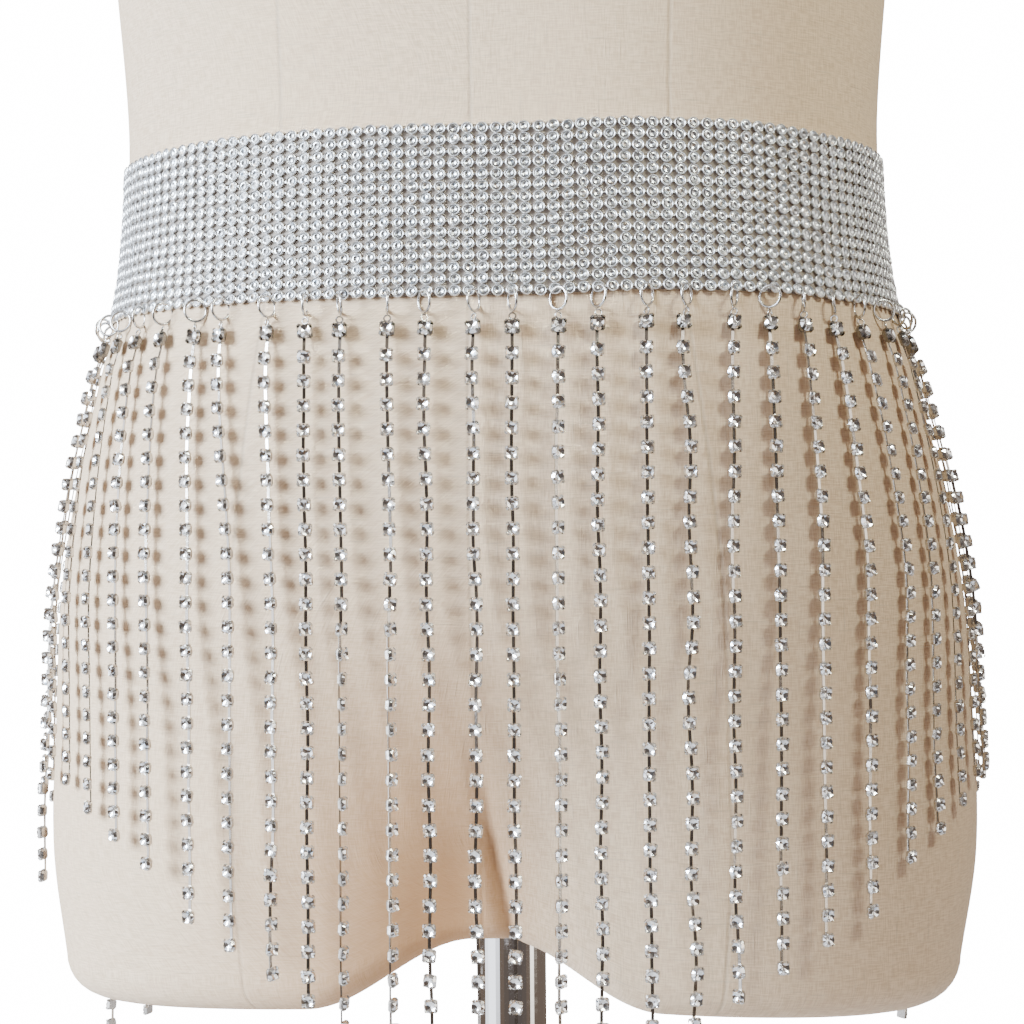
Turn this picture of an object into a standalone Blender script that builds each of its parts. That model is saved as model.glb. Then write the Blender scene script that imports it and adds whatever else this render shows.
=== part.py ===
"""Rhinestone fringe belt worn by a limbless dress form on a short pole.

Metres, +Z up. The form faces -Y, the pole's axis is the Z axis, and the foot stands on Z = 0.
The belt is a band of ring mesh round the waist, closed at the back by a slide lock, with a fringe of
cup chain strands under it. The fringe is longest at the front and at the back, and short at the sides.
"""
import math

import bmesh
import bpy
from mathutils import Vector

# Driving sizes
WAIST_Z = 0.560  # height of the form's waist above the floor
ROWS = 15  # rows of cups in the band
ROW_PITCH = 0.00373
CUP_WIDTH = 0.0039
STRANDS = 57  # cup chain strands, one for every three columns of the mesh
CELL_PITCH = 0.0078  # from one stone to the next along a strand
GAP = 0.0003  # left between solids that meet

# The band and the fringe's strip, from those
BAND_TOP = -0.0150  # from the waist
BAND_HEIGHT = (ROWS - 1) * ROW_PITCH + CUP_WIDTH
BAND_BOTTOM = BAND_TOP - BAND_HEIGHT
BAND_CLEAR = 0.0005  # between the form and the band's inner face
BAND_WALL = 0.0020
BAND_STATIONS = 96
BAND_LEVELS = 5
BELT_TURN = 0.0172  # share of the waist by which the belt is turned towards +X
CLASP_SHARE = 0.0105  # half of the share of the waist that the clasp takes
STRIP_HEIGHT = 0.0030
STRIP_CLEAR = 0.0006
STRAND_DEPTH = 0.0030
STRAND_CLEAR = 0.0022
STRAND_LEVELS = (-0.094, -0.114, -0.138, -0.168, -0.204, -0.250)  # heights of its bends, from the waist
ROOT_STEP = 0.002  # share of the waist on each side of a root that its direction is taken over

# How the band lies on the form: its columns stand evenly at the front, its rows draw together over the
# form's sides, where it hangs a little lower, and it is pulled up a little beside the front's middle
FRONT_PITCH = 0.00449  # from column to column at the front
FRONT_LENGTH = FRONT_PITCH * 3 * STRANDS / (1 - 2 * CLASP_SHARE)
BAND_SQUEEZE = 0.0010
SQUEEZE_FROM = 0.09  # shares of the waist from the middle of the band's front or back
SQUEEZE_TO = 0.22
SIDE_FALL = 0.0010
FALL_FROM = 0.15
FALL_TO = 0.23
BAND_LIFT = 0.0015
LIFT_FROM = 0.005  # shares of the waist from the front's middle towards +X
LIFT_TO = 0.155
LIFT_STEP = 0.05  # share over which the lift grows, and fades

# How the strands hang: the form pushes those near its front and back straight forward and back, and those
# at its sides straight out, and the ones round its +X front corner sway out towards +X
PUSH_FROM = 4  # strands from the middle of the front or back
PUSH_TO = 10
SWAY = 0.0065
SWAY_FROM = 5
SWAY_FULL = 9
SWAY_FADE = 10
SWAY_TO = 13
SWAY_DEPTH = 0.090  # below the band, where the sway is full
REACH_IN = -0.050  # the form's surface is looked for between these distances from a root
REACH_OUT = 0.120

# Cells in a strand: the longest is at the belt's middle, and each one beside it is shorter
FRONT_CELLS = 35
CELLS_LESS = 1.25  # from one strand to the next, towards the side
SIDE_STRAND = 12
SIDE_CELLS = {-14: 25, 13: 20, 14: 20, 15: 21, 16: 22, 17: 25, 18: 30}  # by strand, from the middle
BACK_CELLS = 35
MIDDLE_STRAND = 24  # from this one on they hang before the middle of the back, and are shorter
MIDDLE_CELLS = 31.5

# The form: height from the waist, half width, front and back from the pole's axis, and how square it is
FORM = (
    # height, half_width, front, back, power
    (0.4700, 0.0470, 0.048, 0.044, 2.0),
    (0.4300, 0.0485, 0.050, 0.046, 2.0),
    (0.4020, 0.0600, 0.058, 0.055, 2.0),
    (0.3860, 0.0860, 0.065, 0.064, 2.0),
    (0.3660, 0.1220, 0.073, 0.074, 2.1),
    (0.3400, 0.1500, 0.084, 0.084, 2.2),
    (0.3050, 0.1635, 0.098, 0.092, 2.3),
    (0.2650, 0.1660, 0.112, 0.096, 2.3),
    (0.2200, 0.1610, 0.123, 0.097, 2.3),
    (0.1700, 0.1530, 0.126, 0.093, 2.3),
    (0.1100, 0.1420, 0.117, 0.086, 2.3),
    (0.0460, 0.1367, 0.109, 0.081, 2.3),
    (0.0000, 0.1333, 0.106, 0.080, 2.3),
    (-0.0290, 0.1338, 0.107, 0.083, 2.3),
    (-0.0520, 0.1358, 0.110, 0.088, 2.3),
    (-0.0690, 0.1390, 0.1125, 0.0935, 2.3),
    (-0.0980, 0.1474, 0.1160, 0.1060, 2.3),
    (-0.1330, 0.1568, 0.1170, 0.1190, 2.3),
    (-0.1670, 0.1630, 0.1150, 0.1280, 2.35),
    (-0.2140, 0.1668, 0.1090, 0.1320, 2.4),
    (-0.2550, 0.1674, 0.1050, 0.1290, 2.55),
    (-0.2870, 0.1612, 0.1015, 0.1210, 2.75),
)
FORM_POINTS = 60
FORM_STEP = 0.0330  # greatest height from one ring of the form to the next
EDGE_DROP = 0.0125  # the rounded lower edge, below the last row of FORM
EDGE_INSET = 0.08  # share of the section that the rounded edge takes in
EDGE_RINGS = 4
UNDER_SCALES = (0.55, 0.30, 0.10)
ARCH_RISE = 0.0210  # of the underside between the thighs
ARCH_FLAT = 0.004
ARCH_HALF = 0.058
SIDE_DROP = 0.0085  # of the underside at SIDE_AT from the middle
SIDE_AT = 0.150
ARCH_ZONE = 0.060  # height over which the lower edge passes into the plain sections above
HOLLOW_TOP = -0.175  # where the hollow between the thighs begins, from the waist
HOLLOW_GROWTH = 0.090  # height over which it reaches its full depth
HOLLOW_DEPTH = 0.013
HOLLOW_HALF = 0.040
HOLLOW_AT = 0.007
NECK_SCALES = (0.90, 0.60)
NECK_DOME = 0.004
RING_STEPS = 720  # points that a ring's length is measured through
TURN_STEP = 0.001  # half of the turn that a section's direction is taken over

# The stand
POLE_RADIUS = 0.0125
FOOT_RADIUS = 0.150
FOOT_RIM = 0.006
FOOT_TOP = 0.016
HUB_RADIUS = 0.024
HUB_TOP = 0.040
HUB_SEAT = 0.008  # depth of the hub's socket
HUB_CHAMFER = 0.003
DOME_STEPS = 4
DOME_POWER = 1.6
RIM_STEPS = 6
ROUND_STEPS = 48

# The slide lock's two halves, seen from above
TUBE_RADIUS = 0.0026
TUBE_BORE = 0.0020
SLOT_HALF = 0.0007
ROD_RADIUS = 0.0016
WEB_HALF = 0.00035
WEB_OUT = 0.0006  # from the tube to where the web widens into its flange
FLANGE_HALF = 0.0007
CLASP_CLEAR = 0.0016  # between the form and the tube's inner side
CLASP_STEP = 0.003  # share of the waist on each side of the clasp that its direction is taken over
TUBE_STEPS = 14


def clear_scene():
    for thing in list(bpy.data.objects):
        bpy.data.objects.remove(thing, do_unlink=True)


def material(name, colour, roughness, metallic):
    made = bpy.data.materials.new(name)
    made.use_nodes = True
    shader = made.node_tree.nodes["Principled BSDF"]
    shader.inputs["Base Color"].default_value = (*colour, 1.0)
    shader.inputs["Roughness"].default_value = roughness
    shader.inputs["Metallic"].default_value = metallic
    return made


def add_object(name, mesh, collection, finish, sharp=math.radians(40)):
    """Link a mesh as a named object, smooth where it is round."""
    mesh.shade_smooth()
    mesh.set_sharp_from_angle(angle=sharp)
    mesh.materials.append(finish)
    made = bpy.data.objects.new(name, mesh)
    collection.objects.link(made)
    return made


def mesh_from(name, build):
    """Run build on a new bmesh, and return its mesh with the faces pointing out."""
    work = bmesh.new()
    build(work)
    bmesh.ops.recalc_face_normals(work, faces=work.faces)
    mesh = bpy.data.meshes.new(name)
    work.to_mesh(mesh)
    work.free()
    return mesh


def smooth(t):
    """A soft step from 0 to 1."""
    t = min(max(t, 0.0), 1.0)
    return t * t * (3 - 2 * t)


def form_row(height):
    """The form's half width, front, back and power at a height, on a smooth curve through FORM."""
    rows = FORM
    if height >= rows[0][0]:
        return rows[0][1:]
    if height <= rows[-1][0]:
        return rows[-1][1:]
    low = next(i for i, row in enumerate(rows) if row[0] <= height)
    high = low - 1
    above = max(high - 1, 0)
    below = min(low + 1, len(rows) - 1)
    span = rows[low][0] - rows[high][0]
    t = (height - rows[high][0]) / span
    values = []
    for k in range(1, 5):
        start, end = rows[high][k], rows[low][k]
        slope_start = (end - rows[above][k]) / (rows[low][0] - rows[above][0]) * span
        slope_end = (rows[below][k] - start) / (rows[below][0] - rows[high][0]) * span
        bend = (t - 2 * t ** 2 + t ** 3) * slope_start - (t ** 2 - t ** 3) * slope_end
        values.append(start + (end - start) * smooth(t) + bend)
    return tuple(values)


def section_point(height, turn, out=0.0):
    """A point of the form's section, at a turn from the front towards +X, moved out by a distance."""
    half_width, front, back, power = form_row(height)
    half_depth = (front + back) / 2
    middle = (back - front) / 2

    def at(angle):
        side, fore = math.sin(angle), math.cos(angle)
        x = half_width * math.copysign(abs(side) ** (2 / power), side)
        y = middle - half_depth * math.copysign(abs(fore) ** (2 / power), fore)
        return Vector((x, y))

    along = at(turn + TURN_STEP) - at(turn - TURN_STEP)
    outward = Vector((along.y, -along.x)).normalized()
    return at(turn) + outward * out


def ring_lengths(height, out):
    """The way along a ring round the form at a height, from the back to each of its points."""
    points = [section_point(height, math.tau * (i / RING_STEPS - 0.5), out) for i in range(RING_STEPS + 1)]
    ways = [0.0]
    for first, second in zip(points, points[1:]):
        ways.append(ways[-1] + (second - first).length)
    return ways


def ring_turns(height, out, shares):
    """Turns of the places at shares of the ring's length, counted from the middle of the front towards +X."""
    ways = ring_lengths(height, out)
    turns = []
    for share in shares:
        target = ((share + 0.5) % 1.0) * ways[-1]
        low = next(i for i in range(RING_STEPS) if ways[i + 1] >= target)
        t = (target - ways[low]) / (ways[low + 1] - ways[low])
        turns.append(math.tau * ((low + t) / RING_STEPS - 0.5))
    return turns


def ring_length(height, out):
    return ring_lengths(height, out)[-1]


def strand_numbers():
    return range(-(STRANDS // 2), STRANDS // 2 + 1)


def band_height(share, level):
    """Height of the band at a share of the waist. Level 0 is its lower edge, and 1 its upper edge."""
    way = share - BELT_TURN
    side = min(abs(way), 0.5 - abs(way))
    squeeze = BAND_SQUEEZE * smooth((side - SQUEEZE_FROM) / (SQUEEZE_TO - SQUEEZE_FROM))
    fall = SIDE_FALL * smooth((side - FALL_FROM) / (FALL_TO - FALL_FROM))
    lift = BAND_LIFT * smooth((way - LIFT_FROM) / LIFT_STEP) * smooth((LIFT_TO - way) / LIFT_STEP)
    return BAND_BOTTOM + lift - fall + (BAND_HEIGHT - squeeze) * level


def band_places(level, drop, out, shares):
    """Points round the form, drop below the band's level and moved out, at shares of the waist."""
    turns = ring_turns(BAND_BOTTOM + BAND_HEIGHT * level, out, shares)
    heights = [band_height(share, level) - drop for share in shares]
    places = [section_point(height, turn, out) for height, turn in zip(heights, turns)]
    return [Vector((place.x, place.y, height)) for place, height in zip(places, heights)]


def strand_share(number):
    """Where a strand hangs, as a share of the waist, with the strands evenly apart at the front."""
    way = number * (1 - 2 * CLASP_SHARE) / STRANDS
    spread = FRONT_LENGTH / ring_length(BAND_BOTTOM, BAND_CLEAR) - 1
    return BELT_TURN + way + spread * math.sin(math.tau * way) / math.tau


def strand_cells(number):
    step = abs(number)
    if step <= SIDE_STRAND:
        return FRONT_CELLS - CELLS_LESS * step
    if step >= MIDDLE_STRAND:
        return MIDDLE_CELLS
    return SIDE_CELLS.get(number, SIDE_CELLS.get(step, BACK_CELLS))


def strand_push(number, outward):
    """The level direction in which the form pushes a strand."""
    side = min(abs(number), STRANDS / 2 - abs(number))
    weight = smooth((side - PUSH_FROM) / (PUSH_TO - PUSH_FROM))
    return Vector((outward.x * weight, outward.y)).normalized()


def strand_sway(number, height):
    """How far a strand has swayed towards +X at a height."""
    grown = smooth((number - SWAY_FROM) / (SWAY_FULL - SWAY_FROM))
    faded = smooth((SWAY_TO - number) / (SWAY_TO - SWAY_FADE))
    return SWAY * grown * faded * smooth((BAND_BOTTOM - height) / SWAY_DEPTH)


def belt_shares(count):
    """Evenly spread shares of the waist, from one end of the belt to the other."""
    low = BELT_TURN - 0.5 + CLASP_SHARE
    high = BELT_TURN + 0.5 - CLASP_SHARE
    return [low + (high - low) * i / (count - 1) for i in range(count)]


def reach_along(start, push, height, out):
    """How far the form's section at a height, moved out, lies from start along a level direction."""
    half_width, front, back, power = form_row(height)
    half_depth = (front + back) / 2 + out
    middle = (back - front) / 2
    low, high = REACH_IN, REACH_OUT
    for _ in range(40):
        way = (low + high) / 2
        place = start + push * way
        across = abs(place.x) / (half_width + out)
        deep = abs(place.y - middle) / half_depth
        low, high = (way, high) if across ** power + deep ** power < 1 else (low, way)
    return (low + high) / 2


def strand_path(number):
    """The middle line of a strand from its root, with the root's level directions along the strip and out.
    It follows the form out to its fullest and hangs straight down from there."""
    share = strand_share(number)
    shares = (share - ROOT_STEP, share, share + ROOT_STEP)
    before, root, after = band_places(0, GAP + STRIP_HEIGHT, STRIP_CLEAR + STRAND_DEPTH / 2, shares)
    along = (after - before).xy.normalized()
    outward = Vector((along.y, -along.x))
    push = strand_push(number, outward)
    path = [root]
    left = strand_cells(number) * CELL_PITCH
    way = 0.0
    for height in STRAND_LEVELS:
        start = root.xy + Vector((strand_sway(number, height), 0))
        way = max(way, reach_along(start, push, height, STRAND_CLEAR + STRAND_DEPTH / 2))
        place = start + push * way
        bend = Vector((place.x, place.y, height))
        piece = (bend - path[-1]).length
        if piece >= left:
            path.append(path[-1].lerp(bend, left / piece))
            return path, along, outward
        left -= piece
        path.append(bend)
    path.append(path[-1] - Vector((0, 0, left)))
    return path, along, outward


def build_band(work):
    shares = belt_shares(BAND_STATIONS)
    levels = [1 - i / (BAND_LEVELS - 1) for i in range(BAND_LEVELS)]
    walls = []
    for out in (BAND_CLEAR, BAND_CLEAR + BAND_WALL):
        rows = [band_places(level, 0.0, out, shares) for level in levels]
        walls.append([[work.verts.new((p.x, p.y, WAIST_Z + p.z)) for p in row] for row in rows])
    inner, outer = walls
    last = BAND_STATIONS - 1
    for i in range(last):
        for upper, lower in zip(range(BAND_LEVELS - 1), range(1, BAND_LEVELS)):
            for wall in walls:
                work.faces.new((wall[upper][i], wall[upper][i + 1], wall[lower][i + 1], wall[lower][i]))
        for edge in (0, -1):
            work.faces.new((inner[edge][i], inner[edge][i + 1], outer[edge][i + 1], outer[edge][i]))
    for upper, lower in zip(range(BAND_LEVELS - 1), range(1, BAND_LEVELS)):
        for end in (0, last):
            work.faces.new((inner[upper][end], outer[upper][end], outer[lower][end], inner[lower][end]))


def build_fringe(work):
    """The strip is a thin bar round the waist, and each strand is drawn down from its own patch of the
    strip's underside, so that strip and strands are one body."""
    half_root = CUP_WIDTH / 2 / ring_length(BAND_BOTTOM, STRIP_CLEAR)
    numbers = list(strand_numbers())
    shares = [belt_shares(2)[0]]
    for number in numbers:
        shares += [strand_share(number) - half_root, strand_share(number) + half_root]
    shares.append(belt_shares(2)[1])
    rings = []
    corners = ((GAP, 0.0), (GAP, STRAND_DEPTH), (GAP + STRIP_HEIGHT, STRAND_DEPTH), (GAP + STRIP_HEIGHT, 0.0))
    for drop, out in corners:
        places = band_places(0, drop, STRIP_CLEAR + out, shares)
        rings.append([work.verts.new((p.x, p.y, WAIST_Z + p.z)) for p in places])
    for i in range(len(shares) - 1):
        is_root = i % 2 == 1
        for side in range(4):
            if is_root and side == 2:
                continue
            first, second = rings[side], rings[(side + 1) % 4]
            work.faces.new((first[i], first[i + 1], second[i + 1], second[i]))
    for end in (0, len(shares) - 1):
        work.faces.new([ring[end] for ring in rings])
    for k, number in enumerate(numbers):
        i = 1 + 2 * k
        path, along, outward = strand_path(number)
        loop = [rings[3][i], rings[2][i], rings[2][i + 1], rings[3][i + 1]]
        for bend in path[1:]:
            following = []
            for a, o in ((-1, -1), (-1, 1), (1, 1), (1, -1)):
                corner = bend.xy + along * (CUP_WIDTH / 2 * a) + outward * (STRAND_DEPTH / 2 * o)
                following.append(work.verts.new((corner.x, corner.y, WAIST_Z + bend.z)))
            for j in range(4):
                m = (j + 1) % 4
                work.faces.new((loop[j], loop[m], following[m], following[j]))
            loop = following
        work.faces.new(loop)


def arch_lift(x):
    """Rise of the underside at a distance from the middle: highest over the pole, and lowest at the sides."""
    t = (abs(x) - ARCH_FLAT) / (ARCH_HALF - ARCH_FLAT)
    t = min(max(t, 0.0), 1.0)
    return ARCH_RISE * (1 + math.cos(math.pi * t)) / 2 - SIDE_DROP * (x / SIDE_AT) ** 2


def hollow(x, height):
    """How far the front of the form is set back between the thighs."""
    grown = smooth((HOLLOW_TOP - height) / HOLLOW_GROWTH)
    return HOLLOW_DEPTH * grown * math.exp(-((x - HOLLOW_AT) / HOLLOW_HALF) ** 2)


def form_heights():
    """Ring heights from the neck down to the last row of FORM, none farther apart than FORM_STEP."""
    heights = [FORM[0][0]]
    for upper, lower in zip(FORM, FORM[1:]):
        steps = max(1, math.ceil((upper[0] - lower[0]) / FORM_STEP))
        heights += [upper[0] + (lower[0] - upper[0]) * i / steps for i in range(1, steps + 1)]
    return heights


def build_form(work):
    turns = [math.tau * i / FORM_POINTS for i in range(FORM_POINTS)]
    neck, hem = FORM[0][0], FORM[-1][0]
    foot = hem - EDGE_DROP
    levels = [(neck + NECK_DOME * (1 - scale), neck, scale) for scale in reversed(NECK_SCALES)]
    levels += [(height, height, 1.0) for height in form_heights()]
    for i in range(1, EDGE_RINGS + 1):
        angle = math.pi / 2 * i / EDGE_RINGS
        levels.append((hem - EDGE_DROP * math.sin(angle), hem, 1 - EDGE_INSET * (1 - math.cos(angle))))
    levels += [(foot, hem, scale) for scale in UNDER_SCALES]
    rings = []
    for height, row_height, scale in levels:
        _, front, back, _ = form_row(row_height)
        centre = Vector((0, (back - front) / 2))
        over_pole = scale == UNDER_SCALES[-1]
        zone = min(max(1 - (height - foot) / ARCH_ZONE, 0.0), 1.0)
        ring = []
        for turn in turns:
            place = (section_point(row_height, turn) - centre) * scale
            if not over_pole:
                place += centre
            if place.y < 0 and scale >= 1 - EDGE_INSET:
                place.y += hollow(place.x, height)
            lift = arch_lift(0.0 if over_pole else place.x) * zone
            ring.append(work.verts.new((place.x, place.y, WAIST_Z + height + lift)))
        rings.append(ring)
    for upper, lower in zip(rings, rings[1:]):
        for i in range(FORM_POINTS):
            j = (i + 1) % FORM_POINTS
            work.faces.new((upper[i], upper[j], lower[j], lower[i]))
    work.faces.new(rings[0])
    work.faces.new(rings[-1])


def tube_outline(end, seat):
    """The outer half seen from above, in (along the waist, outward) steps from the tube's middle: a tube
    with a slot on its left and a flange to the band's right end."""
    slot_out = math.asin(SLOT_HALF / TUBE_RADIUS)
    slot_in = math.asin(SLOT_HALF / TUBE_BORE)
    start = math.asin(FLANGE_HALF / TUBE_RADIUS)
    outer = [start + (math.pi - slot_out - start) * i / TUBE_STEPS for i in range(TUBE_STEPS + 1)]
    sweep = math.tau - 2 * slot_in
    inner = [math.pi - slot_in - sweep * i / (2 * TUBE_STEPS) for i in range(2 * TUBE_STEPS + 1)]
    points = [(TUBE_RADIUS * math.cos(a), TUBE_RADIUS * math.sin(a)) for a in outer]
    points += [(TUBE_BORE * math.cos(a), TUBE_BORE * math.sin(a)) for a in inner]
    points += [(TUBE_RADIUS * math.cos(a), -TUBE_RADIUS * math.sin(a)) for a in reversed(outer)]
    return points + [(end, seat - FLANGE_HALF), (end, seat + FLANGE_HALF)]


def rod_outline(end, seat):
    """The inner half: a rod in the tube, a web out through the slot and a flange to the left end."""
    start = math.asin(WEB_HALF / ROD_RADIUS)
    sweep = math.tau - 2 * start
    arc = [start + sweep * i / (2 * TUBE_STEPS) for i in range(2 * TUBE_STEPS + 1)]
    points = [(-ROD_RADIUS * math.cos(a), ROD_RADIUS * math.sin(a)) for a in arc]
    neck = -(TUBE_RADIUS + WEB_OUT)
    points += [(neck, -WEB_HALF), (-end, seat - FLANGE_HALF)]
    return points + [(-end, seat + FLANGE_HALF), (neck, WEB_HALF)]


def build_clasp(outline):
    """A straight bar of one outline down the closed ends of the band, which leans with the form's back."""
    share = BELT_TURN + 0.5
    shares = (share - CLASP_STEP, share, share + CLASP_STEP)
    out = CLASP_CLEAR + TUBE_RADIUS
    band_middle = BAND_CLEAR + BAND_WALL / 2

    def build(work):
        top, foot = [band_places(level, 0.0, out, shares) for level in (1, 0)]
        along = (top[2] - top[0] + foot[2] - foot[0]).xy.normalized()
        outward = Vector((along.y, -along.x))
        shortest = min(ring_length(places[1].z, band_middle) for places in (top, foot))
        spots = [along * a + outward * o for a, o in outline(shortest * CLASP_SHARE - GAP, band_middle - out)]
        loops = []
        for middle in (top[1], foot[1]):
            corners = [(middle.x + spot.x, middle.y + spot.y, WAIST_Z + middle.z) for spot in spots]
            loops.append([work.verts.new(corner) for corner in corners])
        count = len(spots)
        for i in range(count):
            j = (i + 1) % count
            work.faces.new((loops[0][i], loops[0][j], loops[1][j], loops[1][i]))
        for loop in loops:
            work.faces.new(loop)

    return build


def turned(name, profile, collection, finish):
    """A round piece about the Z axis from an open profile of (radius, height), top to bottom."""
    mesh = bpy.data.meshes.new(name)
    points = [(radius, 0.0, height) for radius, height in profile]
    mesh.from_pydata(points, [(i, i + 1) for i in range(len(points) - 1)], [])
    made = bpy.data.objects.new(name, mesh)
    collection.objects.link(made)
    screw = made.modifiers.new("Turn", "SCREW")
    screw.steps = screw.render_steps = ROUND_STEPS
    screw.use_merge_vertices = True
    screw.merge_threshold = 0.0001
    screw.use_smooth_shade = True
    mesh.materials.append(finish)
    return made


def foot_profile():
    """The foot plate: a slightly domed disc with a rounded rim and a hub for the pole."""
    angles = [math.pi * (0.5 - i / RIM_STEPS) for i in range(RIM_STEPS + 1)]
    rim = [(FOOT_RADIUS - FOOT_RIM * (1 - math.cos(a)), FOOT_RIM * (1 + math.sin(a)) / 2) for a in angles]
    inner = HUB_RADIUS + HUB_CHAMFER
    dome = []
    for i in range(DOME_STEPS):
        t = i / DOME_STEPS
        radius = inner + (FOOT_RADIUS - FOOT_RIM - inner) * t
        dome.append((radius, FOOT_RIM + (FOOT_TOP - FOOT_RIM) * (1 - t ** DOME_POWER)))
    seat = HUB_TOP - HUB_SEAT
    hub = [(0.0, seat), (POLE_RADIUS + GAP, seat), (POLE_RADIUS + GAP, HUB_TOP)]
    hub += [(HUB_RADIUS - HUB_CHAMFER, HUB_TOP), (HUB_RADIUS, HUB_TOP - HUB_CHAMFER)]
    hub.append((HUB_RADIUS, FOOT_TOP + HUB_CHAMFER))
    return hub + dome + rim + [(0.0, 0.0)]


def build_model():
    clear_scene()
    parts = bpy.data.collections.new("rhinestone_fringe_belt_on_dress_form")
    bpy.context.scene.collection.children.link(parts)
    silver = material("silver_mesh", (0.78, 0.79, 0.81), 0.25, 1.0)
    stones = material("cup_chain", (0.82, 0.83, 0.86), 0.15, 1.0)
    linen = material("linen", (0.78, 0.70, 0.60), 0.85, 0.0)
    chrome = material("chrome", (0.80, 0.78, 0.77), 0.10, 1.0)

    add_object("belt_band", mesh_from("belt_band", build_band), parts, silver)
    add_object("fringe", mesh_from("fringe", build_fringe), parts, stones)
    add_object("clasp_tube", mesh_from("clasp_tube", build_clasp(tube_outline)), parts, chrome)
    add_object("clasp_bar", mesh_from("clasp_bar", build_clasp(rod_outline)), parts, chrome)
    add_object("form_body", mesh_from("form_body", build_form), parts, linen)

    pole_foot = HUB_TOP - HUB_SEAT + GAP
    pole_top = WAIST_Z + FORM[-1][0] - EDGE_DROP + ARCH_RISE - GAP
    bpy.ops.mesh.primitive_cylinder_add(
        vertices=ROUND_STEPS,
        radius=POLE_RADIUS,
        depth=pole_top - pole_foot,
        location=(0, 0, (pole_top + pole_foot) / 2),
    )
    pole = bpy.context.object
    pole.name = "form_pole"
    for holder in list(pole.users_collection):
        holder.objects.unlink(pole)
    parts.objects.link(pole)
    pole.data.shade_smooth()
    pole.data.set_sharp_from_angle(angle=math.radians(40))
    pole.data.materials.append(chrome)
    turned("form_base", foot_profile(), parts, chrome)


build_model()
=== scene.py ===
import math

import bpy
import numpy as np
from mathutils import Matrix, Vector


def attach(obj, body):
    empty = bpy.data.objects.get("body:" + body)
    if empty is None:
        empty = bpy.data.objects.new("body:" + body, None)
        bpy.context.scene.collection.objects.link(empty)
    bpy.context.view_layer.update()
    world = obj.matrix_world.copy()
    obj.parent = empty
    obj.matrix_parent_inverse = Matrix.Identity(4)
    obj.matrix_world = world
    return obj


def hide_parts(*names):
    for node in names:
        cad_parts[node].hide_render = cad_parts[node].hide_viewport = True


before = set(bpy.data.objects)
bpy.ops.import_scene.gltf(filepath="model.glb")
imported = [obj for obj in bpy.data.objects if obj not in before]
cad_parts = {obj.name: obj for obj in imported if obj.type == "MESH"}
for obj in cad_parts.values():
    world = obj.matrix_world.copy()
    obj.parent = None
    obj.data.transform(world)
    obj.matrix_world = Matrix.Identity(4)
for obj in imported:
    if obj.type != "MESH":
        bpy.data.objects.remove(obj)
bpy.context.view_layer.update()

# Sizes that the solids have too, in metres
WAIST_Z = 0.560  # height of the form's waist above the floor
ROWS = 15  # rows of cups in the band
ROW_PITCH = 0.00373
CUP_WIDTH = 0.0039
STRANDS = 57  # cup chain strands, one for every three columns of the mesh
COLUMNS = 3 * STRANDS
CELL_PITCH = 0.0078  # from one stone to the next along a strand
GAP = 0.0003  # between solids that meet
BAND_TOP = -0.0150  # from the waist
BAND_HEIGHT = (ROWS - 1) * ROW_PITCH + CUP_WIDTH
BAND_BOTTOM = BAND_TOP - BAND_HEIGHT
BAND_CLEAR = 0.0005  # between the form and the band's inner face
BELT_TURN = 0.0172  # share of the waist by which the belt is turned towards +X
CLASP_SHARE = 0.0105  # half of the share of the waist that the clasp takes
STRIP_HEIGHT = 0.0030
STRIP_CLEAR = 0.0006
STRAND_DEPTH = 0.0030
STRAND_CLEAR = 0.0022
ROOT_STEP = 0.002  # share of the waist on each side of a root that its direction is taken over

# How the band lies: its columns stand evenly at the front, its rows draw together over the form's sides,
# where it hangs a little lower, and it is pulled up a little beside the front's middle
FRONT_PITCH = 0.00449  # from column to column at the front
FRONT_LENGTH = FRONT_PITCH * COLUMNS / (1 - 2 * CLASP_SHARE)
BAND_SQUEEZE = 0.0010
SQUEEZE_FROM = 0.09  # shares of the waist from the middle of the band's front or back
SQUEEZE_TO = 0.22
SIDE_FALL = 0.0010
FALL_FROM = 0.15
FALL_TO = 0.23
BAND_LIFT = 0.0015
LIFT_FROM = 0.005  # shares of the waist from the front's middle towards +X
LIFT_TO = 0.155
LIFT_STEP = 0.05  # share over which the lift grows, and fades

# How the strands hang: straight forward and back from the form's front and back, straight out from its
# sides, and swaying out towards +X round its +X front corner
PUSH_FROM = 4  # strands from the middle of the front or back
PUSH_TO = 10
SWAY = 0.0065
SWAY_FROM = 5
SWAY_FULL = 9
SWAY_FADE = 10
SWAY_TO = 13
SWAY_DEPTH = 0.090  # below the band, where the sway is full
REACH_IN = -0.050  # the form's surface is looked for between these distances from a root
REACH_OUT = 0.120
FRONT_CELLS = 35  # cells in the strand at the belt's middle
CELLS_LESS = 1.25  # from one strand to the next, towards the side
SIDE_STRAND = 12
SIDE_CELLS = {-14: 25, 13: 20, 14: 20, 15: 21, 16: 22, 17: 25, 18: 30}  # by strand, from the middle
BACK_CELLS = 35
MIDDLE_STRAND = 24  # from this one on they hang before the middle of the back, and are shorter
MIDDLE_CELLS = 31.5

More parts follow.
